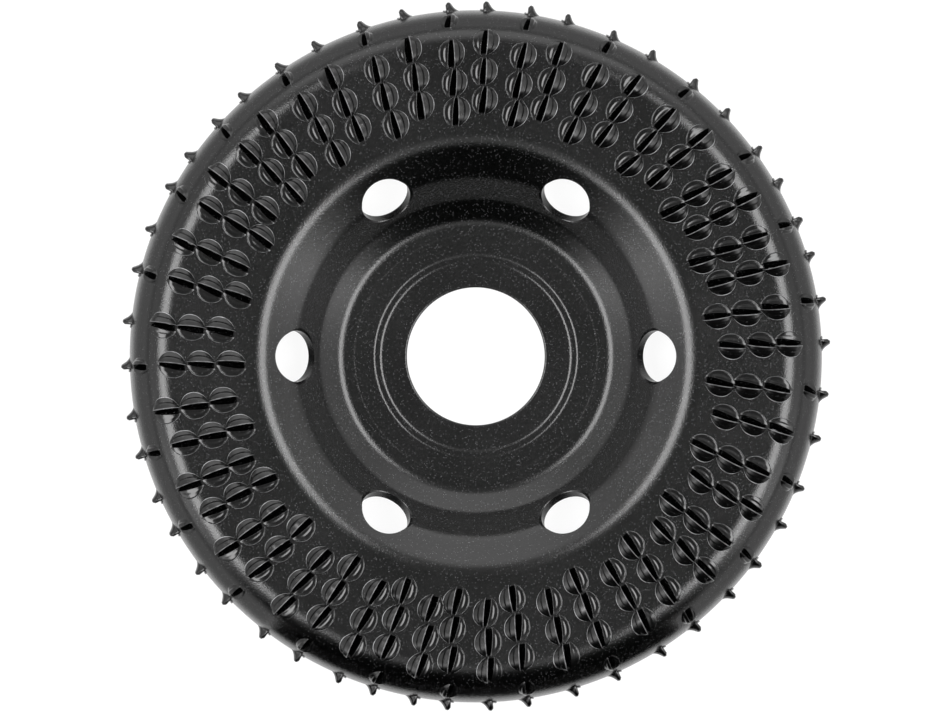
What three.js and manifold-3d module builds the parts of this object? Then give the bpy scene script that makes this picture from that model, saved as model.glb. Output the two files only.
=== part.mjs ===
// Carving disc for an angle grinder: a dished, pressed steel plate with a stepped-down hub, six vent
// holes, and lanced rasp teeth on its flat face, on the slope of its rim and on the rim's edge.
// Millimetres, +Z up. The origin is the centre of the bore in the plane of the hub's back face.
import * as THREE from "three";
import Module from "manifold-3d";
import { ConvexGeometry } from "three/addons/geometries/ConvexGeometry.js";
import { mergeVertices } from "three/addons/utils/BufferGeometryUtils.js";

const wasm = await Module();
wasm.setup();

// Plate
const discDiameter = 111.8; // across the rim's wall, without its teeth
const plateThickness = 1.6;
const boreDiameter = 22.23; // standard spindle register
const hubFlatDiameter = 42; // seat for the spindle flange and its nut
const hubGrooveDiameter = 31.7;
const hubGrooveWidth = 1;
const hubGrooveDepth = 0.2;
const dishDepth = 10.2; // hub's front face to the working face
const hubTerrace = 0.155; // share of the dish's run that slopes gently beside the hub
const faceTerrace = 0.24; // share of the dish's run that slopes gently below the face
const terraceSteepness = 0.96; // slope of both terraces over the dish's mean slope
const faceWidth = 13.5; // radial width of the flat working face
const rimLift = 0.6; // rim's lower edge above the hub's back face
const rimWallHeight = 1.5; // upright part of the rim
const rimConeAngle = (59 * Math.PI) / 180; // rim's slope below the working face

// Inside radii of the plate's bends, from the hub outwards
const hubBendRadius = 2.6;
const dishBendRadius = 4;
const crestRadius = 3;
const shoulderRadius = 2.9;
const rimRollRadius = 9.6;
const bendStep = (17 * Math.PI) / 180; // turn per facet of a bend
const mostBend = 0.95; // bends may use this share of the room between two flats
const endBendRoom = 0.3; // share of the dish's run left for its first and last bends

// Vent holes
const ventCount = 6;
const ventDiameter = 8.3;
const ventPlace = 0.524; // share of the dish's run, from the hub's flat to the face

// Tooth rows on the working face
const rowCount = 50;
const teethPerRow = 3;
const toothPitch = 4.7; // along a row
const toothLength = 4.6;
const toothHeight = 1.3;
const toothTop = 0.44; // straight top of a tooth over its length
const rowFill = 1.02; // tooth width over the tightest space between rows; staggering lets it pass 1
const slotWidth = 0.9; // chip slot between a tooth's two shells
const shellShare = 0.6; // of a tooth's width beside the slot: the large shell with the cutting edge
const lipHeight = 0.5; // the small shell ahead of the slot
const lipLengthShare = 0.75;
const edgeRake = 0.25; // how far the cutting edge leans over the slot
const webHeight = 0.2; // strip on the plate that the teeth of a row stand on
const webOverlap = 0.15; // how far the shells reach over the strip
const seatGap = 0.02; // between a row's underside and the plate
const outerRowInset = 3.4; // from the face's outer edge to the middle tooth of an odd row
const rowStagger = 1.8; // how much closer to the hub the even rows sit

// Teeth on the rim
const slopeToothShare = 0.9; // place along the rim's straight slope
const slopeToothLength = 3.8;
const edgeToothLength = 3;
const edgeToothHeight = 1.5;
const edgeToothBase = 1.9;
const edgeToothTop = 0.35; // straight top over the length
const edgeToothLean = 0.45; // how far ahead of its middle the tip stands, over the base
const edgeToothRise = 0.2; // its middle above the top of the rim's wall, over its length
const rootDepth = 0.5; // how deep a rim tooth is rooted in the plate

// Indexing of the rows, in degrees counterclockwise from +X: even steps, with the slow drift of
// hand indexing as a few harmonics of [order, size, phase].
const firstRowAngle = 87.6;
const indexDrift = [[1, 0.9, 148], [2, 0.85, -70], [3, 0.65, 125], [6, 0.8, -67]];
const staggerDrift = 0.3; // extra turn of every second row

const ringSegments = 54;
const ventSegments = 20;

const blackCoat = { color: 0x26272a, roughness: 0.42, metalness: 0.1 };
const toothCoat = { color: 0x1f2023, roughness: 0.36, metalness: 0.15 };

const radians = THREE.MathUtils.degToRad;

// A geometry's merged triangles as a solid, and a solid's triangles as a geometry.
function solidOf(geometry) {
  const bare = geometry.clone();
  bare.deleteAttribute("normal");
  bare.deleteAttribute("uv");
  const merged = mergeVertices(bare, 1e-4);
  const vertProperties = new Float32Array(merged.attributes.position.array);
  const triVerts = new Uint32Array(merged.index.array);
  return new wasm.Manifold(new wasm.Mesh({ numProp: 3, vertProperties, triVerts }));
}

function geometryOf(solid) {
  const mesh = solid.getMesh();
  const geometry = new THREE.BufferGeometry();
  geometry.setAttribute("position", new THREE.BufferAttribute(new Float32Array(mesh.vertProperties), 3));
  geometry.setIndex(new THREE.BufferAttribute(new Uint32Array(mesh.triVerts), 1));
  geometry.computeVertexNormals();
  return geometry;
}

// Slope of the tangent between two bends that join parallel flats, one `rise` above the other.
function tangentSlope(run, rise, bends) {
  const reach = Math.hypot(run, rise - bends);
  return Math.asin(bends / reach) - Math.atan2(bends - rise, run);
}

// The plate's section, drawn along its front face from the bore to the rim's lower edge. Each point
// keeps its slope, so that the back face is the same line moved in by the plate's thickness.
function plateSection() {
  const points = [];
  const pen = { r: boreDiameter / 2, z: plateThickness, slope: 0 };
  const mark = () => points.push({ ...pen });
  const forward = (length) => {
    pen.r += length * Math.cos(pen.slope);
    pen.z += length * Math.sin(pen.slope);
    mark();
  };
  const turnTo = (slope, radius) => {
    const from = pen.slope;
    const facets = Math.max(1, Math.round(Math.abs(slope - from) / bendStep));
    const turn = (slope - from) / facets;
    const chord = 2 * radius * Math.sin(Math.abs(turn) / 2);
    for (let facet = 0; facet < facets; facet += 1) {
      pen.slope = from + (facet + 0.5) * turn;
      pen.r += chord * Math.cos(pen.slope);
      pen.z += chord * Math.sin(pen.slope);
      pen.slope = from + (facet + 1) * turn;
      mark();
    }
  };

  // Rim: the drop from the working face to the upright wall fixes the length of its slope.
  const faceHeight = plateThickness + dishDepth;
  const drop = faceHeight - rimLift - rimWallHeight;
  const shoulderDrop = (shoulderRadius + plateThickness) * (1 - Math.cos(rimConeAngle));
  const rollDrop = (rimRollRadius + plateThickness) * Math.cos(rimConeAngle);
  const rimFit = Math.min(1, (mostBend * drop) / (shoulderDrop + rollDrop));
  const shoulder = (shoulderRadius + plateThickness) * rimFit;
  const roll = (rimRollRadius + plateThickness) * rimFit;
  const coneLength = (drop - (shoulderDrop + rollDrop) * rimFit) / Math.sin(rimConeAngle);
  const rimRun = shoulder * Math.sin(rimConeAngle) + coneLength * Math.cos(rimConeAngle)
    + roll * (1 - Math.sin(rimConeAngle));
  const faceOuter = discDiameter / 2 - rimRun;
  const faceInner = faceOuter - faceWidth;

  // Dish: two gentle terraces, joined by a steeper middle that makes up the depth. The middle is an
  // S between parallel lines, so it is worked out in axes turned to the terraces.
  const dishRun = faceInner - hubFlatDiameter / 2;
  const terraceSlope = terraceSteepness * Math.atan2(dishDepth, dishRun);
  const endBends = hubBendRadius + crestRadius + plateThickness;
  const endFit = Math.min(1, (endBendRoom * dishRun) / (endBends * Math.sin(terraceSlope)));
  const terraces = (hubTerrace + faceTerrace) * dishRun;
  const middleRun = dishRun - terraces - endBends * endFit * Math.sin(terraceSlope);
  const middleRise = dishDepth - terraces * Math.tan(terraceSlope)
    - endBends * endFit * (1 - Math.cos(terraceSlope));
  const turnedRun = middleRun * Math.cos(terraceSlope) + middleRise * Math.sin(terraceSlope);
  const turnedRise = middleRise * Math.cos(terraceSlope) - middleRun * Math.sin(terraceSlope);
  const middleBends = 2 * dishBendRadius + plateThickness;
  const middleRoom = (mostBend * (turnedRun ** 2 + turnedRise ** 2)) / (2 * turnedRise);
  const middleFit = Math.min(1, middleRoom / middleBends);
  const extraSlope = tangentSlope(turnedRun, turnedRise, middleBends * middleFit);
  const middleLength = (turnedRun - middleBends * middleFit * Math.sin(extraSlope)) / Math.cos(extraSlope);

  mark();
  const grooveStart = hubGrooveDiameter / 2 - hubGrooveWidth / 2;
  forward(grooveStart - pen.r);
  const grooved = points.length;
  forward(hubGrooveWidth / 2);
  forward(hubGrooveWidth / 2);
  forward(hubFlatDiameter / 2 - pen.r);
  turnTo(terraceSlope, hubBendRadius * endFit);
  forward((hubTerrace * dishRun) / Math.cos(terraceSlope));
  turnTo(terraceSlope + extraSlope, dishBendRadius * middleFit);
  forward(middleLength);
  turnTo(terraceSlope, (dishBendRadius + plateThickness) * middleFit);
  forward((faceTerrace * dishRun) / Math.cos(terraceSlope));
  turnTo(0, (crestRadius + plateThickness) * endFit);
  forward(faceWidth);
  turnTo(-rimConeAngle, shoulder);
  const slopeStart = { ...pen };
  forward(coneLength);
  turnTo(-Math.PI / 2, roll);
  const wallTop = { ...pen };
  forward(rimWallHeight);
  const back = points.map(({ r, z, slope }) => ({
    r: r + plateThickness * Math.sin(slope),
    z: z - plateThickness * Math.cos(slope),
  }));
  points[grooved].z -= hubGrooveDepth;
  return { points, back, grooved, faceHeight, faceOuter, dishRun, slopeStart, coneLength, wallTop };
}

const section = plateSection();

function plateSolid() {
  const front = section.points.map(({ r, z }) => new THREE.Vector2(r, z));
  const back = section.back.map(({ r, z }) => new THREE.Vector2(r, z));
  back.splice(section.grooved - 1, 3); // the back of the hub is plain under its groove
  const outline = [...back, ...front.reverse()];
  outline.push(outline[0].clone());
  return solidOf(new THREE.LatheGeometry(outline, ringSegments).rotateX(Math.PI / 2));
}

// Front-face point and slope of the plate at a radius.
function plateAt(radius) {
  const next = section.points.findIndex(({ r }) => r >= radius);
  const from = section.points[next - 1];
  const to = section.points[next];
  const share = (radius - from.r) / (to.r - from.r);
  return { r: radius, z: from.z + share * (to.z - from.z), slope: Math.atan2(to.z - from.z, to.r - from.r) };
}

// Places a shape drawn with +X outward along the plate and +Z off its front face.
function onPlate(geometry, { r, z, slope }, angle) {
  return geometry.rotateY(-slope).translate(r, 0, z).rotateZ(angle);
}

function ventSolids() {
  const place = plateAt(hubFlatDiameter / 2 + ventPlace * section.dishRun);
  return Array.from({ length: ventCount }, (_, vent) => {
    const cutter = new THREE.CylinderGeometry(ventDiameter / 2, ventDiameter / 2, 4 * plateThickness, ventSegments);
    cutter.rotateX(Math.PI / 2);
    return solidOf(onPlate(cutter, place, (vent * 2 * Math.PI) / ventCount));
  });
}

function rowAngle(row) {
  const turn = (360 * row) / rowCount;
  const drift = indexDrift.reduce(
    (sum, [order, size, phase]) => sum - size * Math.cos(radians(order * turn - phase)), 0);
  const stagger = row % 2 ? -staggerDrift : staggerDrift;
  return radians(firstRowAngle - turn + drift + stagger);
}

// Width of every tooth, from the tightest space between two rows at their innermost teeth.
function toothWidth() {
  const angles = Array.from({ length: rowCount }, (_, row) => rowAngle(row));
  const steps = angles.map((angle, row) => {
    const next = row + 1 < rowCount ? angles[row + 1] : angles[0] - 2 * Math.PI;
    return angle - next;
  });
  const innermost = section.faceOuter - outerRowInset - rowStagger - ((teethPerRow - 1) / 2) * toothPitch;
  return rowFill * Math.min(...steps) * innermost;
}

const shellWidth = (toothWidth() - slotWidth) * shellShare;
const lipWidth = (toothWidth() - slotWidth) * (1 - shellShare);

// Half of a tooth: a shell on the plate with its top along the chip slot. Foot points are shares of
// its length and width. `side` is 1 ahead of the slot and -1 behind it, and the top leans over the
// slot by `lean`. The foot reaches `root` below the plate's face.
function shellGeometry(foot, length, width, height, side, lean, root) {
  const near = slotWidth / 2 - webOverlap;
  const far = slotWidth / 2 + width;
  const ends = [-toothTop / 2, toothTop / 2];
  const top = side * (slotWidth / 2) + lean;
  return new ConvexGeometry([
    ...foot.map(([x, y]) => new THREE.Vector3(x * length, side * (near + y * (far - near)), -root)),
    ...ends.map((x) => new THREE.Vector3(x * length, top, height)),
  ]);
}

function toothSolid(length, place, angle, root) {
  const lensFoot = [[-0.5, 0], [0.5, 0], [-0.32, 0.8], [0.32, 0.8], [0, 1]];
  const lipFoot = [[-0.5, 0], [0.5, 0], [-0.26, 1], [0.26, 1]];
  const shell = shellGeometry(lensFoot, length, shellWidth, toothHeight, -1, edgeRake, root);
  const lip = shellGeometry(lipFoot, lipLengthShare * length, lipWidth, lipHeight, 1, 0, root);
  return solidOf(onPlate(shell, place, angle)).add(solidOf(onPlate(lip, place, angle)));
}

// A tooth on the rim's edge: a hook that is steep ahead and slopes off behind.
function edgeToothSolid(angle) {
  const half = edgeToothLength / 2;
  const tip = [half * edgeToothTop, edgeToothBase * edgeToothLean, edgeToothHeight];
  const foot = [[-half, 0], [half, 0], [0, 0.5 * edgeToothBase], [0, -0.5 * edgeToothBase]];
  const hook = new ConvexGeometry([
    ...foot.map(([x, y]) => new THREE.Vector3(x, y, -rootDepth)),
    new THREE.Vector3(...tip),
    new THREE.Vector3(-tip[0], tip[1], tip[2]),
  ]);
  const { r, z, slope } = section.wallTop;
  return solidOf(onPlate(hook, { r, z: z + edgeToothRise * edgeToothLength, slope }, angle));
}

function discBody() {
  let body = plateSolid();
  for (const vent of ventSolids()) {
    body = body.subtract(vent);
  }
  const { slopeStart, coneLength } = section;
  const along = slopeToothShare * coneLength;
  const slopePlace = {
    r: slopeStart.r + along * Math.cos(rimConeAngle),
    z: slopeStart.z - along * Math.sin(rimConeAngle),
    slope: -rimConeAngle,
  };
  for (let row = 0; row < rowCount; row += 1) {
    const angle = rowAngle(row);
    body = body.add(edgeToothSolid(angle));
    if (row % 2) {
      body = body.add(toothSolid(slopeToothLength, slopePlace, angle, rootDepth));
    }
  }
  return body;
}

// A row's teeth stand on the plate at their own places, so that the last ones lean over the shoulder.
function faceToothRow(row) {
  const angle = rowAngle(row);
  const middle = section.faceOuter - outerRowInset - (row % 2 ? rowStagger : 0);
  const innermost = middle - ((teethPerRow - 1) / 2) * toothPitch;
  const webLength = (teethPerRow - 1) * toothPitch + toothLength / 2;
  const web = new THREE.BoxGeometry(webLength, slotWidth, webHeight);
  web.translate((webLength - toothLength) / 2, 0, webHeight / 2);
  let solid = solidOf(onPlate(web, { r: innermost, z: section.faceHeight + seatGap, slope: 0 }, angle));
  for (let tooth = 0; tooth < teethPerRow; tooth += 1) {
    const place = plateAt(innermost + tooth * toothPitch);
    place.z += seatGap;
    solid = solid.add(toothSolid(toothLength, place, angle, 0));
  }
  return solid;
}

function part(name, solid, coat) {
  const mesh = new THREE.Mesh(geometryOf(solid), new THREE.MeshStandardMaterial(coat));
  mesh.name = name;
  return mesh;
}

const disc = new THREE.Group();
disc.name = "carving_disc";
disc.add(part("disc_body", discBody(), blackCoat));
for (let row = 0; row < rowCount; row += 1) {
  const name = `face_tooth_row_${String(row + 1).padStart(2, "0")}`;
  disc.add(part(name, faceToothRow(row), toothCoat));
}

export default disc;
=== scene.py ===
"""Looks of the carving disc: the pressed plate with its bends, vent holes and chip slots, and its
225 lanced teeth, in black powder coat. Metres, in the CAD model's frame, +Z out of the toothed face."""

import math
import random
from typing import NamedTuple

import bpy
import numpy as np
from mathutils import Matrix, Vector


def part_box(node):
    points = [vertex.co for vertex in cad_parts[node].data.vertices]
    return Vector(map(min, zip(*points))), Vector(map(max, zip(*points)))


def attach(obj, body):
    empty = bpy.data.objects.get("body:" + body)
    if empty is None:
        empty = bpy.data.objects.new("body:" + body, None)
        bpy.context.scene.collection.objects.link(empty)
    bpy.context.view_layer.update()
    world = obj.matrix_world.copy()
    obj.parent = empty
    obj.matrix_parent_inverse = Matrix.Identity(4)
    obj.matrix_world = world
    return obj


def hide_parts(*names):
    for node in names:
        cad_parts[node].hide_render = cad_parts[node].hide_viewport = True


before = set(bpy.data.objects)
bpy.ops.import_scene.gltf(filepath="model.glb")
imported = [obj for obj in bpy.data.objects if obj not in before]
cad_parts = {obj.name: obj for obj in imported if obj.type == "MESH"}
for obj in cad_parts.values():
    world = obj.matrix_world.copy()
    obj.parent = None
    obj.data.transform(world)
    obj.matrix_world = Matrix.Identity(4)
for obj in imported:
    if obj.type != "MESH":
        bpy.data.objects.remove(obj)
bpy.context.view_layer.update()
MM = 0.001

# Plate, with the CAD model's dimensions. Bends are radii of the front face.
DISC_RADIUS = 55.9 * MM
THICKNESS = 1.6 * MM
BORE_RADIUS = 11.115 * MM
HUB_FLAT_RADIUS = 21 * MM
DISH_DEPTH = 10.2 * MM
HUB_TERRACE = 0.155  # gentle parts of the dish, as shares of its run
FACE_TERRACE = 0.24
TERRACE_STEEPNESS = 0.96  # slope of both terraces over the dish's mean slope
FACE_WIDTH = 13.5 * MM
RIM_LIFT = 0.6 * MM
RIM_WALL_HEIGHT = 1.5 * MM
RIM_CONE_ANGLE = math.radians(59)
HUB_BEND = 2.6 * MM
DISH_BEND = 4 * MM
CREST_BEND = 3 * MM + THICKNESS
SHOULDER_BEND = 2.9 * MM + THICKNESS
RIM_ROLL = 9.6 * MM + THICKNESS
FACE_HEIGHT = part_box("disc_body")[1].z

# Turned marks on the hub's front face
GROOVE_INNER = 15.33 * MM
GROOVE_OUTER = 16.37 * MM
GROOVE_SIDE = 0.14 * MM  # reach of each sloping side
GROOVE_DEPTH = 0.09 * MM
WITNESS_RADIUS = 19.64 * MM
WITNESS_WIDTH = 0.07 * MM
WITNESS_DEPTH = 0.012 * MM
FINE_RINGS = ((14.915 * MM, 16.815 * MM, 0.06 * MM), (19.465 * MM, 19.815 * MM, 0.04 * MM))  # from, to, step

VENTS = 6
VENT_RADIUS = 4.15 * MM
VENT_PLACE = 0.524  # share of the dish's run

# Tooth rows
ROWS = 50
TEETH_PER_ROW = 3
TOOTH_PITCH = 4.7 * MM
OUTER_ROW_INSET = 3.4 * MM
ROW_STAGGER = 1.8 * MM

# Uneven spacing of the rows, as harmonics of (order, degrees, phase). They, the first row's angle and the
# stagger's drift come from a Fourier fit to row angles read off the photo.
FIRST_ROW_ANGLE = 87.6
INDEX_DRIFT = ((1, 0.9, 148), (2, 0.85, -70), (3, 0.65, 125), (6, 0.8, -67))
STAGGER_DRIFT = 0.3

SLOPE_TOOTH_PLACE = 0.9
EDGE_TOOTH_RISE = 0.6 * MM


class Kind(NamedTuple):
    """Sizes of a kind of tooth. A reach runs from the middle of the slot to the tooth's outline."""
    length: float
    shell_reach: float
    lip_reach: float
    slot: float  # half of its width
    height: float
    lip_height: float
    stages: tuple  # the shell's height over its peak, at shares of its reach
    overhang: float  # of the cutting edge over the slot
    wear_and_glint: float  # how pale its outline and edge are painted: coat worn thin, and a painted highlight for their glint


# Heights over the peak, at shares of the way from the slot to the outline
STEPPED = ((0, 0.44, 0.47, 0.57, 0.6, 0.94, 0.98, 1), (1, 0.67, 0.63, 0.41, 0.38, 0.05, 0.01, 0))
HOOKED = ((0, 0.08, 0.2, 0.34, 0.46, 0.62, 0.8, 1), (0.8, 0.96, 1, 0.93, 0.68, 0.36, 0.14, 0))
CREASED = ((0, 0.3, 0.5, 0.9, 0.935, 1), (0.66, 0.7, 1, 0.98, 0.86, 0.1))
OUTLINE_BAND = ((0.94, 0.965, 1), (0, 1, 1))  # paler band along the outline: worn coat and painted highlight
TOP_SHARES = (0, 0.08, 0.2, 0.3, 0.34, 0.44, 0.47, 0.5, 0.57, 0.6, 0.7, 0.82, 0.9, 0.935, 0.965, 1)
ROOT = 0.45 * MM  # how far a tooth's walls reach below the plate's face
# Each ring of a tooth's walls: how far it steps into the slot, how far it drops there, and how deep the
# outline stands
WALLS = ((0.05 * MM, 0.02 * MM, 0.02 * MM), (0.08 * MM, 0.08 * MM, 0.06 * MM),
         (0.08 * MM, 0.3 * MM, 0.15 * MM), (0.08 * MM, ROOT, ROOT))
# Paler cutting edge beside the slot: worn coat and a painted highlight
EDGE_WEAR_AND_GLINT = 0.5
LEAST_WIDTH = 0.02 * MM
TOP_ROWS = 27
SHARP_TOOTH = 42  # degrees
SHARP_PLATE = 32
FACE_TOOTH = Kind(4.75 * MM, 2.25 * MM, 1.95 * MM, 0.57 * MM, 1.3 * MM, 0.3 * MM, STEPPED, 0.05 * MM, 1.0)
SLOPE_TOOTH = Kind(4.7 * MM, 1.45 * MM, 1.25 * MM, 0.52 * MM, 0.75 * MM, 0.3 * MM, STEPPED, 0.05 * MM, 0.15)
EDGE_TOOTH = Kind(3.1 * MM, 1.7 * MM, 0.8 * MM, 0.16 * MM, 1.48 * MM, 0.2 * MM, HOOKED, 0.35 * MM, 0.2)

rng = random.Random(7)


def tangent_slope(run, rise, bends):
    """Slope of the line between two bends that join parallel flats, one `rise` above the other."""
    return math.asin(bends / math.hypot(run, rise - bends)) - math.atan2(bends - rise, run)


class Section:
    """The plate's front line from the bore to the rim's lower edge, as bends and straights."""

    def __init__(self):
        drop = FACE_HEIGHT - RIM_LIFT - RIM_WALL_HEIGHT
        bends_drop = SHOULDER_BEND * (1 - math.cos(RIM_CONE_ANGLE)) + RIM_ROLL * math.cos(RIM_CONE_ANGLE)
        cone = (drop - bends_drop) / math.sin(RIM_CONE_ANGLE)
        rim_run = (SHOULDER_BEND * math.sin(RIM_CONE_ANGLE) + cone * math.cos(RIM_CONE_ANGLE)
                   + RIM_ROLL * (1 - math.sin(RIM_CONE_ANGLE)))
        self.face_outer = DISC_RADIUS - rim_run
        self.face_inner = self.face_outer - FACE_WIDTH
        self.dish_run = self.face_inner - HUB_FLAT_RADIUS
        gentle = TERRACE_STEEPNESS * math.atan2(DISH_DEPTH, self.dish_run)
        ends = HUB_BEND + CREST_BEND
        terraces = (HUB_TERRACE + FACE_TERRACE) * self.dish_run
        run = self.dish_run - terraces - ends * math.sin(gentle)
        rise = DISH_DEPTH - terraces * math.tan(gentle) - ends * (1 - math.cos(gentle))
        turned_run = run * math.cos(gentle) + rise * math.sin(gentle)
        turned_rise = rise * math.cos(gentle) - run * math.sin(gentle)
        bends = 2 * DISH_BEND + THICKNESS
        extra = tangent_slope(turned_run, turned_rise, bends)
        steep = gentle + extra
        runs = [
            (HUB_FLAT_RADIUS - BORE_RADIUS, 0, 0),
            (HUB_BEND * gentle, 0, gentle),
            (HUB_TERRACE * self.dish_run / math.cos(gentle), gentle, gentle),
            (DISH_BEND * extra, gentle, steep),
            ((turned_run - bends * math.sin(extra)) / math.cos(extra), steep, steep),
            ((DISH_BEND + THICKNESS) * extra, steep, gentle),
            (FACE_TERRACE * self.dish_run / math.cos(gentle), gentle, gentle),
            (CREST_BEND * gentle, gentle, 0),
            (FACE_WIDTH, 0, 0),
            (SHOULDER_BEND * RIM_CONE_ANGLE, 0, -RIM_CONE_ANGLE),
            (cone, -RIM_CONE_ANGLE, -RIM_CONE_ANGLE),
            (RIM_ROLL * (math.pi / 2 - RIM_CONE_ANGLE), -RIM_CONE_ANGLE, -math.pi / 2),
            (RIM_WALL_HEIGHT, -math.pi / 2, -math.pi / 2),
        ]
        self.length = np.array([run[0] for run in runs])
        self.slope = np.array([run[1] for run in runs])
        self.curve = np.array([(run[2] - run[1]) / run[0] for run in runs])
        self.start = np.concatenate([[0], np.cumsum(self.length)])
        self.r = np.array([BORE_RADIUS])
        self.z = np.array([THICKNESS])
        for end in self.start[1:]:
            r, z, _ = self.at(np.array([end - 1e-12]), len(self.r) - 1)
            self.r = np.append(self.r, r)
            self.z = np.append(self.z, z)

    def at(self, along, run=None):
        """Radius, height and slope at distances along the line."""
        if run is None:
            run = np.clip(np.searchsorted(self.start, along, side="right") - 1, 0, len(self.length) - 1)
        past = along - self.start[run]
        from_slope, curve = self.slope[run], self.curve[run]
        slope = from_slope + curve * past
        bent = np.abs(curve) > 1e-9
        safe = np.where(bent, curve, 1.0)
        r = np.where(bent, (np.sin(slope) - np.sin(from_slope)) / safe, past * np.cos(from_slope))
        z = np.where(bent, (np.cos(from_slope) - np.cos(slope)) / safe, past * np.sin(from_slope))
        return self.r[run] + r, self.z[run] + z, slope

    def along(self, radius):
        """Distance along the line at a radius inside the rim's wall."""
        table = np.linspace(0, self.start[-2], 4000)
        return float(np.interp(radius, self.at(table)[0], table))


section = Section()
AT_CONE, AT_ROLL, AT_WALL, AT_END = section.start[10:14]


def placed(along, off, angle):
    """Points at distances along the section and off its front face, turned to an angle. N by 3."""
    r, z, slope = section.at(along)
    r = r - off * np.sin(slope)
    z = z + off * np.cos(slope)
    return np.stack([r * np.cos(angle), r * np.sin(angle), z], axis=-1)


def row_angle(row):
    turn = 360 * row / ROWS
    drift = -sum(size * math.cos(math.radians(order * turn - phase)) for order, size, phase in INDEX_DRIFT)
    stagger = -STAGGER_DRIFT if row % 2 else STAGGER_DRIFT
    return math.radians(FIRST_ROW_ANGLE - turn + drift + stagger)


# Mesh helpers

def new_mesh_object(name, points, faces, material, sharp_angle=None):
    mesh = bpy.data.meshes.new(name)
    mesh.from_pydata([tuple(point) for point in points], [], faces)
    mesh.update()
    piece = bpy.data.objects.new(name, mesh)
    bpy.context.scene.collection.objects.link(piece)
    if material:
        mesh.materials.append(material)
    shade(mesh, sharp_angle)
    return piece


def shade(mesh, sharp_angle):
    mesh.polygons.foreach_set("use_smooth", [True] * len(mesh.polygons))
    if sharp_angle is not None:
        mesh.set_sharp_from_angle(angle=math.radians(sharp_angle))
    mesh.update()


def joined(parts):
    """Several (points, faces) as one."""
    points, faces, count = [], [], 0
    for part_points, part_faces in parts:
        points.append(part_points)
        faces.extend([tuple(index + count for index in face) for face in part_faces])
        count += len(part_points)
    return np.concatenate(points), faces


def grid_faces(rows, columns, wrap_rows=False, wrap_columns=False):
    """Quads of a grid of points stored row by row."""
    faces = []
    for row in range(rows if wrap_rows else rows - 1):
        below = (row + 1) % rows
        for column in range(columns if wrap_columns else columns - 1):
            beside = (column + 1) % columns
            faces.append((row * columns + column, row * columns + beside,
                          below * columns + beside, below * columns + column))
    return faces


def cut(piece, cutter):
    """Cuts the cutter out of the piece for good, and removes it."""
    modifier = piece.modifiers.new("cut", "BOOLEAN")
    modifier.operation = "DIFFERENCE"
    modifier.solver = "MANIFOLD"
    modifier.object = cutter
    graph = bpy.context.evaluated_depsgraph_get()
    made = bpy.data.meshes.new_from_object(piece.evaluated_get(graph))
    piece.modifiers.clear()
    old = piece.data
    piece.data = made
    made.name = old.name
    bpy.data.meshes.remove(old)
    spent = cutter.data
    bpy.data.objects.remove(cutter)
    bpy.data.meshes.remove(spent)


# Plate

def plate_loop():
    """The section as a closed loop of (along, off), with rounded edges at the bore and the rim."""
    edge = 0.3 * MM
    turns = np.linspace(0, math.pi / 2, 5)
    step = 0.4 * MM
    turn_step = math.radians(4)
    pieces = []
    for start, length, curve in zip(section.start[:-1], section.length, section.curve):
        count = max(2, math.ceil(length / step), math.ceil(abs(curve) * length / turn_step))
        pieces.append(np.linspace(start, start + length, count, endpoint=False))
    for inner, outer, fine in FINE_RINGS:
        pieces.append(np.arange(inner - BORE_RADIUS, outer - BORE_RADIUS, fine))
    line = np.unique(np.concatenate(pieces))
    line = line[(line > edge) & (line < AT_END - edge)]
    front = [(value, 0.0) for value in line]
    rim_front = [(AT_END - edge + edge * math.sin(t), -edge + edge * math.cos(t)) for t in turns]
    rim_back = [(AT_END - edge + edge * math.cos(t), -THICKNESS + edge - edge * math.sin(t)) for t in turns]
    back = [(value, -THICKNESS) for value in line[::-1]]
    bore_back = [(edge - edge * math.sin(t), -THICKNESS + edge - edge * math.cos(t)) for t in turns]
    bore_front = [(edge - edge * math.cos(t), -edge + edge * math.sin(t)) for t in turns]
    return np.array(front + rim_front + rim_back + back + bore_back + bore_front)


def hub_marks(radius):
    """Height that the hub's front face loses to its turned groove and witness line."""
    inner_side = np.tanh((radius - GROOVE_INNER) / GROOVE_SIDE)
    outer_side = np.tanh((radius - GROOVE_OUTER) / GROOVE_SIDE)
    witness = np.exp(-(((radius - WITNESS_RADIUS) / WITNESS_WIDTH) ** 2))
    return GROOVE_DEPTH * 0.5 * (inner_side - outer_side) + WITNESS_DEPTH * witness


def vent_frames():
    """Centre, outward normal and angle of each vent hole, which stands square to the dish."""
    along = section.along(HUB_FLAT_RADIUS + VENT_PLACE * section.dish_run)
    tilt = float(section.at(np.array([along]))[2][0])
    frames = []
    for vent in range(VENTS):
        angle = 2 * math.pi * vent / VENTS
        centre = placed(np.array([along]), 0, angle)[0]
        normal = np.array([-math.sin(tilt) * math.cos(angle), -math.sin(tilt) * math.sin(angle),
                           math.cos(tilt)])
        frames.append((centre, normal, angle))
    return frames


def plate_points():
    loop = plate_loop()
    turns = 720
    front_skin = 0.05 * MM
    angles = np.linspace(0, 2 * math.pi, turns, endpoint=False)
    along, angle = np.meshgrid(loop[:, 0], angles)
    off = np.broadcast_to(loop[:, 1], along.shape)
    points = placed(along, off, angle)
    radius = section.at(along)[0]
    points[..., 2] -= np.where(off > -front_skin, hub_marks(radius), 0)
    return points.reshape(-1, 3), grid_faces(turns, len(loop), wrap_rows=True, wrap_columns=True)


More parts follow.
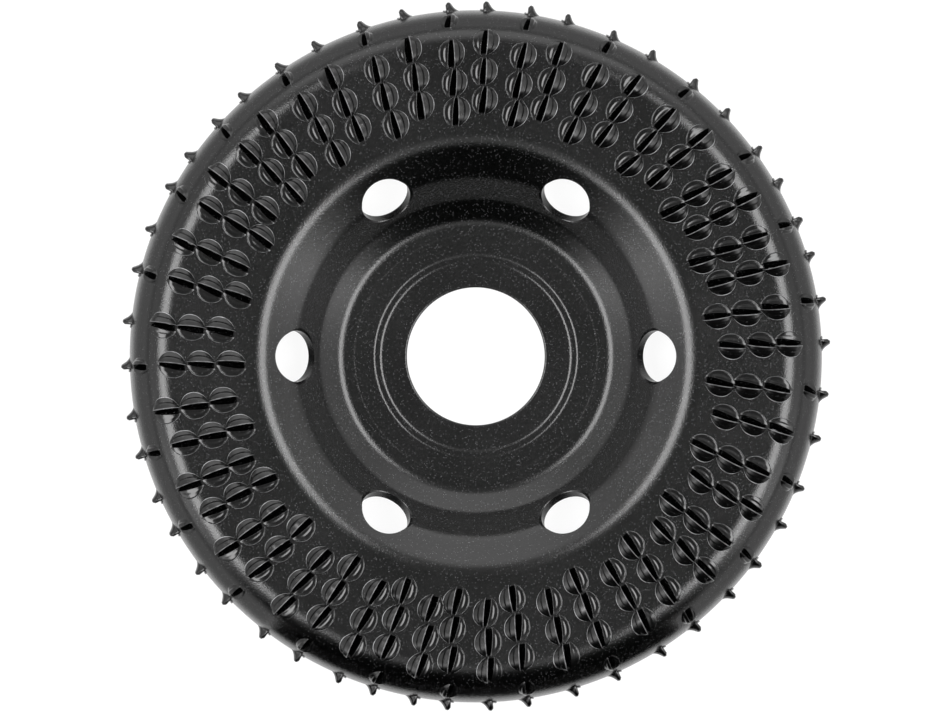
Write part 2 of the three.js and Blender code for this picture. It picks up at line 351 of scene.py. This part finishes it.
def vent_cutters():
    """A pin for each vent, flared at both faces of the plate to break the hole's edges."""
    flare = 0.15 * MM
    far = 3 * MM
    profile = [(VENT_RADIUS + flare + far, far), (VENT_RADIUS + flare, 0.0), (VENT_RADIUS, -flare),
               (VENT_RADIUS, -THICKNESS + flare), (VENT_RADIUS + flare, -THICKNESS),
               (VENT_RADIUS + flare + far, -THICKNESS - far)]
    sides = 96
    parts = []
    for centre, normal, angle in vent_frames():
        tangent = np.array([-math.sin(angle), math.cos(angle), 0.0])
        radial = np.cross(tangent, normal)
        points = [centre + normal * height + radius * (math.cos(t) * tangent + math.sin(t) * radial)
                  for radius, height in profile
                  for t in np.linspace(0, 2 * math.pi, sides, endpoint=False)]
        faces = grid_faces(len(profile), sides, wrap_columns=True)
        faces += [tuple(range(sides))[::-1], tuple(range(len(points) - sides, len(points)))]
        parts.append((np.array(points), faces))
    return joined(parts)


# Teeth: u runs along the section away from the hub, v counterclockwise, w off the plate.

class Tooth:
    """A tooth's own sizes, and where it stands."""

    def __init__(self, kind, along, angle):
        self.kind = kind
        self.along = along + rng.uniform(-0.1, 0.1) * MM
        self.angle = angle
        self.length = kind.length * rng.uniform(0.97, 1.03)
        self.shell_reach = kind.shell_reach * rng.uniform(0.95, 1.05)
        self.lip_reach = kind.lip_reach * rng.uniform(0.94, 1.06)
        self.slot = kind.slot * rng.uniform(0.92, 1.08)
        self.height = kind.height * rng.uniform(0.92, 1.0)
        self.lip_height = kind.lip_height * rng.uniform(0.85, 1.15)
        self.skew = math.radians(rng.uniform(-3.5, 3.5))
        self.shift = rng.uniform(-0.1, 0.1) * MM
        self.lean = rng.uniform(0.1, 0.26) * MM

    def place(self, points):
        """Points (u, v, w) of the tooth, on the plate."""
        u, v, w = points[:, 0], points[:, 1] + self.shift, points[:, 2]
        turned_u = u * math.cos(self.skew) - v * math.sin(self.skew)
        turned_v = u * math.sin(self.skew) + v * math.cos(self.skew)
        along = self.along + turned_u
        radius = section.at(along)[0]
        return placed(along, w, self.angle + turned_v / radius)

    def slot_edge(self, end, side):
        """Edge of the slot, from its inner end (-1) to its outer end (1). It widens inwards, and its
        outer end leans back."""
        half = self.slot * (0.6 + 0.4 * np.sqrt(np.clip(1 - end ** 2, 0, 1)))
        widening = 0.5 if side > 0 else 0.05
        return side * half * (1 - widening * end) - self.lean * end


def half_tooth(tooth, side):
    """One side of a tooth as a closed body: 1 for the lip, -1 for the shell behind the slot. Its top
    is a grid from the slot's edge to the outline, and its walls run down into the plate."""
    kind = tooth.kind
    is_shell = side < 0
    reach = (tooth.shell_reach if is_shell else tooth.lip_reach) - tooth.slot
    peak = tooth.height if is_shell else tooth.lip_height
    stages = kind.stages if is_shell else CREASED
    overhang = kind.overhang if is_shell else 0
    ends = np.sin(np.linspace(-math.pi / 2, math.pi / 2, TOP_ROWS))
    end, share = np.meshgrid(ends, TOP_SHARES, indexing="ij")
    bow = np.clip(1 - np.abs(end) ** 2.4, 0, 1) ** 0.85  # 1 at the middle, 0 at both ends
    outward = 0.08 if is_shell else 0.3  # how much fuller the outer end is
    width = reach * bow * (1 + outward * end) + LEAST_WIDTH
    if is_shell:
        height = peak * bow * np.interp(share, *stages)
    else:
        rounded = np.cbrt(np.abs(0.75 * end) ** 3 + share ** 3)
        height = peak * bow ** 0.5 * np.interp(rounded, *stages)
    across = tooth.slot_edge(end, side) + side * (share * width - overhang * bow * (1 - share))
    top = np.stack([end * tooth.length / 2, across, height], axis=-1).reshape(-1, 3)

    rows, columns = end.shape
    faces = grid_faces(rows, columns)
    loop = np.array(perimeter(rows, columns))
    by_slot = loop % columns == 0
    walls = [top]
    for inward, drop, sunk in WALLS:
        wall = top[loop]
        wall[:, 1] -= np.where(by_slot, side * inward, 0)
        wall[:, 2] = np.where(by_slot, np.maximum(wall[:, 2] - drop, -ROOT), -sunk)
        walls.append(wall)
    walls[-1][:, 2] = -ROOT
    upper = list(loop)
    for layer in range(len(walls) - 1):
        first = len(top) + layer * len(loop)
        lower = list(range(first, first + len(loop)))
        for index in range(len(loop)):
            after = (index + 1) % len(loop)
            faces.append((upper[index], upper[after], lower[after], lower[index])[::-1])
        upper = lower
    faces.append(tuple(upper))
    if is_shell:
        faces = [face[::-1] for face in faces]
    # Paler band along the outline and the shell's cutting edge: worn coat, and a painted highlight for the
    # glint these edges catch
    worn_and_glinting = np.zeros(sum(len(wall) for wall in walls))
    worn_and_glinting[:len(top)] = np.interp(share, *OUTLINE_BAND).ravel()
    if is_shell:
        slot_side = np.concatenate([loop[by_slot], len(top) + np.flatnonzero(by_slot)])
        worn_and_glinting[slot_side] = EDGE_WEAR_AND_GLINT
    return tooth.place(np.concatenate(walls)), faces, worn_and_glinting * kind.wear_and_glint


def perimeter(rows, columns):
    """Indices round the edge of a grid of points, in order."""
    top = list(range(columns))
    right = [row * columns + columns - 1 for row in range(1, rows)]
    bottom = [(rows - 1) * columns + column for column in range(columns - 2, -1, -1)]
    left = [row * columns for row in range(rows - 2, 0, -1)]
    return top + right + bottom + left


def slot_cutter(tooth):
    """A slanted lens that opens the slot at the front and runs down under the shell."""
    slant, depth, above = 0.75, 1.45 * MM, 0.3 * MM
    half_length = tooth.length * 0.46
    taper = 0.8
    ends = np.linspace(-1, 1, 17)
    outline = [(end * half_length, tooth.slot_edge(end, 1)) for end in ends]
    outline += [(end * half_length, tooth.slot_edge(end, -1)) for end in ends[::-1]]
    upper = np.array([(u, v + slant * above, above) for u, v in outline])
    lower = np.array([(u * taper, v - slant * depth, -depth) for u, v in outline])
    count = len(outline)
    faces = [(index, (index + 1) % count, count + (index + 1) % count, count + index)
             for index in range(count)]
    faces += [tuple(range(count))[::-1], tuple(range(count, 2 * count))]
    return tooth.place(np.concatenate([upper, lower])), faces


def face_teeth(row):
    middle = section.face_outer - OUTER_ROW_INSET - (ROW_STAGGER if row % 2 else 0)
    start = section.along(middle) - (TEETH_PER_ROW - 1) / 2 * TOOTH_PITCH
    return [Tooth(FACE_TOOTH, start + tooth * TOOTH_PITCH, row_angle(row)) for tooth in range(TEETH_PER_ROW)]


def slope_tooth(row):
    along = AT_CONE + SLOPE_TOOTH_PLACE * (AT_ROLL - AT_CONE)
    return Tooth(SLOPE_TOOTH, along, row_angle(row))


def edge_tooth(row):
    return Tooth(EDGE_TOOTH, AT_WALL - EDGE_TOOTH_RISE, row_angle(row))


def teeth_object(name, teeth, material):
    """The teeth as one object, with their outlines and cutting edges marked for the material's paler band:
    worn coat and painted highlight.
    """
    halves = [half_tooth(tooth, side) for tooth in teeth for side in (-1, 1)]
    points, faces = joined([(points, faces) for points, faces, _ in halves])
    piece = new_mesh_object(name, points, faces, material, SHARP_TOOTH)
    marks = piece.data.attributes.new("wear_and_glint", "FLOAT", "POINT")
    marks.data.foreach_set("value", np.concatenate([worn_and_glinting for _, _, worn_and_glinting in halves]))
    return piece


# Materials

# Pale flecks: painted sparkle highlights of the coat's grain
SPARKLE_HIGHLIGHT_COLOUR = (0.055, 0.055, 0.057, 1)
# Paler colour of worn coat, which also paints the highlight on the teeth's outlines and cutting edges
WORN_AND_GLINT_COLOUR = (0.22, 0.22, 0.225, 1)


class Nodes:
    """A short way to write a node material."""

    def __init__(self, name):
        self.material = bpy.data.materials.new(name)
        self.material.use_nodes = True
        self.tree = self.material.node_tree
        self.shader = self.tree.nodes["Principled BSDF"]

    def add(self, kind, inputs=None, **settings):
        node = self.tree.nodes.new(kind)
        for key, value in settings.items():
            setattr(node, key, value)
        for key, value in (inputs or {}).items():
            if isinstance(value, bpy.types.NodeSocket):
                self.tree.links.new(value, node.inputs[key])
            else:
                node.inputs[key].default_value = value
        return node

    def math(self, operation, a, b):
        return self.add("ShaderNodeMath", {0: a, 1: b}, operation=operation).outputs[0]

    def ramp(self, value, stops):
        node = self.add("ShaderNodeValToRGB", {"Fac": value})
        ramp = node.color_ramp
        while len(ramp.elements) < len(stops):
            ramp.elements.new(1)
        for element, (place, shade_value) in zip(ramp.elements, stops):
            element.position = place
            element.color = (shade_value, shade_value, shade_value, 1)
        return node.outputs["Color"]

    def mix(self, factor, a, b):
        return self.add("ShaderNodeMix", {0: factor, 6: a, 7: b}, data_type="RGBA").outputs[2]

    def link(self, output, socket):
        self.tree.links.new(output, self.shader.inputs[socket])


def powder_coat(name, shade_low, shade_high, speckle, roughness, grain):
    """Black powder coat: fine orange peel, pale flecks painted as sparkle highlights and slow patches of
    gloss, with a paler band of worn coat and painted highlight where the mesh marks it.
    """
    nodes = Nodes(name)
    place = nodes.add("ShaderNodeTexCoord").outputs["Object"]
    # Pale flecks, painted as the sparkle highlights of the coat's grain
    sparkle_cells = nodes.add("ShaderNodeTexVoronoi", {"Vector": place, "Scale": 5200.0})
    chosen = nodes.add("ShaderNodeSeparateColor", {"Color": sparkle_cells.outputs["Color"]})
    near = nodes.math("LESS_THAN", sparkle_cells.outputs["Distance"], 0.36)
    picked = nodes.math("GREATER_THAN", chosen.outputs[0], 1 - speckle)
    painted_sparkle = nodes.math("MULTIPLY", near, picked)
    painted_sparkle = nodes.math("MULTIPLY", painted_sparkle, chosen.outputs[1])
    mottle = nodes.add("ShaderNodeTexNoise", {"Vector": place, "Scale": 1900.0, "Detail": 3.0,
                                              "Roughness": 0.7}).outputs["Fac"]
    patches = nodes.add("ShaderNodeTexNoise", {"Vector": place, "Scale": 60.0, "Detail": 3.0}).outputs["Fac"]
    patchy_wear_and_glint = nodes.add("ShaderNodeTexNoise", {"Vector": place, "Scale": 900.0, "Detail": 2.0}).outputs["Fac"]
    base = nodes.ramp(mottle, [(0.38, shade_low), (0.66, shade_high)])
    colour = nodes.mix(painted_sparkle, base, SPARKLE_HIGHLIGHT_COLOUR)
    # Paler band where the teeth mark it: worn coat and a painted highlight on their outlines and cutting
    # edges
    worn_and_glinting = nodes.add("ShaderNodeAttribute", attribute_name="wear_and_glint").outputs["Fac"]
    worn_and_glinting = nodes.math("MULTIPLY", worn_and_glinting, nodes.ramp(patchy_wear_and_glint, [(0.3, 0.25), (0.65, 1.0)]))
    colour = nodes.mix(worn_and_glinting, colour, WORN_AND_GLINT_COLOUR)
    nodes.link(colour, "Base Color")
    gloss = nodes.math("MULTIPLY_ADD", patches, 0.10)
    gloss.node.inputs[2].default_value = roughness - 0.05
    gloss = nodes.math("ADD", gloss, nodes.math("MULTIPLY", mottle, 0.06))
    nodes.link(gloss, "Roughness")
    peel = nodes.add("ShaderNodeTexNoise", {"Vector": place, "Scale": 4500.0, "Detail": 1.5,
                                            "Roughness": 0.6}).outputs["Fac"]
    bump = nodes.add("ShaderNodeBump", {"Strength": grain, "Distance": 0.034 * MM, "Height": peel})
    nodes.link(bump.outputs[0], "Normal")
    return nodes.material


def floor_material():
    nodes = Nodes("pale_floor")
    nodes.shader.inputs["Base Color"].default_value = (0.08, 0.08, 0.08, 1)
    nodes.shader.inputs["Roughness"].default_value = 0.9
    nodes.shader.inputs["Emission Color"].default_value = (1, 1, 1, 1)
    nodes.shader.inputs["Emission Strength"].default_value = 0.93
    return nodes.material


def card_material(name, glow):
    nodes = Nodes(name)
    nodes.shader.inputs["Base Color"].default_value = (0, 0, 0, 1)
    nodes.shader.inputs["Roughness"].default_value = 1
    nodes.shader.inputs["Specular IOR Level"].default_value = 0
    nodes.shader.inputs["Emission Color"].default_value = (1, 1, 1, 1)
    nodes.shader.inputs["Emission Strength"].default_value = glow
    return nodes.material


# Scene

def add_camera():
    """Straight above the working face, from far enough to see little taper, 153.4 mm across at the rim."""
    view_width, distance = 153.4 * MM, 3.0
    data = bpy.data.cameras.new("camera")
    data.sensor_width = 36
    data.lens = data.sensor_width * distance / view_width
    camera = bpy.data.objects.new("camera", data)
    camera.location = (-0.13 * MM, -0.03 * MM, RIM_LIFT + RIM_WALL_HEIGHT + distance)
    bpy.context.scene.collection.objects.link(camera)
    bpy.context.scene.camera = camera


SOFTBOX_AWAY = 0.28
SOFTBOX_HEIGHT = 0.41
SOFTBOX_SIZE = (0.56, 0.25)
SOFTBOX_POWER = 3.6


def softbox(name, place, size, power):
    """A rectangular lamp that faces the disc and isn't itself seen by the camera."""
    data = bpy.data.lights.new(name, "AREA")
    data.shape = "RECTANGLE"
    data.size, data.size_y = size
    data.energy = power
    lamp = bpy.data.objects.new(name, data)
    lamp.location = place
    lamp.rotation_mode = "QUATERNION"
    aim = Vector((0, 0, FACE_HEIGHT)) - Vector(place)
    lamp.rotation_quaternion = aim.to_track_quat("-Z", "Y")
    lamp.visible_camera = False
    bpy.context.scene.collection.objects.link(lamp)


# The dome from the bottom of the frame (0) to its top (1): dark, a bright panel, dimmer, a bright panel
SKY_PANELS = ((0.1, 0), (0.15, 0.05), (0.21, 0.42), (0.28, 1), (0.37, 0.64), (0.46, 0.4), (0.82, 0.36),
              (0.93, 0.72))
SKY_STRENGTH = 3.0


def add_sky():
    """A studio dome: bright low down and brightest at the top of the frame, dark overhead and towards
    the bottom of the frame. The camera itself sees a pale backdrop."""
    world = bpy.data.worlds.new("studio")
    bpy.context.scene.world = world
    world.use_nodes = True
    tree = world.node_tree
    dome = tree.nodes["Background"]
    direction = tree.nodes.new("ShaderNodeSeparateXYZ")
    tree.links.new(tree.nodes.new("ShaderNodeTexCoord").outputs["Generated"], direction.inputs[0])

    def graded(value, lows, highs, kind="SMOOTHSTEP"):
        node = tree.nodes.new("ShaderNodeMapRange")
        node.interpolation_type = kind
        tree.links.new(value, node.inputs["Value"])
        for socket, number in zip(("From Min", "From Max", "To Min", "To Max"), (*lows, *highs)):
            node.inputs[socket].default_value = number
        return node.outputs[0]

    def times(a, b):
        node = tree.nodes.new("ShaderNodeMath")
        node.operation = "MULTIPLY"
        tree.links.new(a, node.inputs[0])
        if isinstance(b, float):
            node.inputs[1].default_value = b
        else:
            tree.links.new(b, node.inputs[1])
        return node.outputs[0]

    rise = graded(direction.outputs["Z"], (0.4, 0.88), (1.0, 0.38))
    overhead = graded(direction.outputs["Z"], (0.975, 0.998), (1.0, 0.4))
    around = tree.nodes.new("ShaderNodeValToRGB")
    ramp = around.color_ramp
    while len(ramp.elements) < len(SKY_PANELS):
        ramp.elements.new(1)
    for element, (place, strength) in zip(ramp.elements, SKY_PANELS):
        element.position = place
        element.color = (strength, strength, strength, 1)
    tree.links.new(graded(direction.outputs["Y"], (-1, 1), (0, 1), "LINEAR"), around.inputs[0])
    tree.links.new(around.outputs["Color"], dome.inputs["Color"])
    tree.links.new(times(times(rise, overhead), SKY_STRENGTH), dome.inputs["Strength"])
    backdrop = tree.nodes.new("ShaderNodeBackground")
    backdrop.inputs["Color"].default_value = (0.95, 0.95, 0.95, 1)
    seen = tree.nodes.new("ShaderNodeMixShader")
    tree.links.new(tree.nodes.new("ShaderNodeLightPath").outputs["Is Camera Ray"], seen.inputs[0])
    tree.links.new(dome.outputs[0], seen.inputs[1])
    tree.links.new(backdrop.outputs[0], seen.inputs[2])
    tree.links.new(seen.outputs[0], tree.nodes["World Output"].inputs["Surface"])


def floor_card(name, turns, inner, outer, glow):
    """A sector of the floor between two directions, in degrees, and two radii. It is seen only in
    reflections, and sets how bright the rim is there."""
    turns = np.radians(np.linspace(*turns, 49))
    points = [(radius * math.cos(turn), radius * math.sin(turn), 0.2 * MM)
              for radius in (inner, outer) for turn in turns]
    card = new_mesh_object(name, points, grid_faces(2, len(turns)), card_material(name, glow))
    card.visible_camera = False
    card.visible_diffuse = False
    card.visible_shadow = False


def add_stage():
    half = 3.0
    corners = [(-half, -half, 0), (half, -half, 0), (half, half, 0), (-half, half, 0)]
    new_mesh_object("floor", corners, [(0, 1, 2, 3)], floor_material())
    floor_card("black_card", turns=(-127, -53), inner=0.0615, outer=2.9, glow=0)
    floor_card("grey_card", turns=(-52, 232), inner=0.0602, outer=0.4, glow=0.66)
    for name, side in (("softbox_left", -1), ("softbox_right", 1)):
        softbox(name, (side * SOFTBOX_AWAY, 0, SOFTBOX_HEIGHT), SOFTBOX_SIZE, SOFTBOX_POWER)
    add_sky()
    bpy.context.scene.view_settings.view_transform = "Standard"


def add_disc():
    plate_coat = powder_coat("black_powder_coat", 0.0002, 0.0007, 0.18, 0.17, 1.0)
    tooth_coat = powder_coat("tooth_coat", 0.0006, 0.0016, 0.04, 0.15, 0.12)
    rows = [face_teeth(row) for row in range(ROWS)]
    slope_row = [slope_tooth(row) for row in range(1, ROWS, 2)]
    edge_row = [edge_tooth(row) for row in range(ROWS)]
    every = [tooth for row in rows for tooth in row] + slope_row + edge_row

    plate = new_mesh_object("disc_plate", *plate_points(), plate_coat)
    cut(plate, new_mesh_object("vents", *vent_cutters(), None))
    cut(plate, new_mesh_object("slots", *joined([slot_cutter(tooth) for tooth in every]), None))
    shade(plate.data, SHARP_PLATE)
    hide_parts("disc_body")
    settle(plate)

    for name, teeth in (("rim_slope_teeth", slope_row), ("rim_edge_teeth", edge_row)):
        piece = teeth_object(name, teeth, tooth_coat)
        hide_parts("disc_body")
        settle(piece)
    for row, teeth in enumerate(rows):
        piece = teeth_object(f"row_of_teeth_{row + 1:02d}", teeth, tooth_coat)
        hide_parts(f"face_tooth_row_{row + 1:02d}")
        settle(piece)


def settle(piece):
    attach(piece, "root")


add_camera()
add_stage()
add_disc()
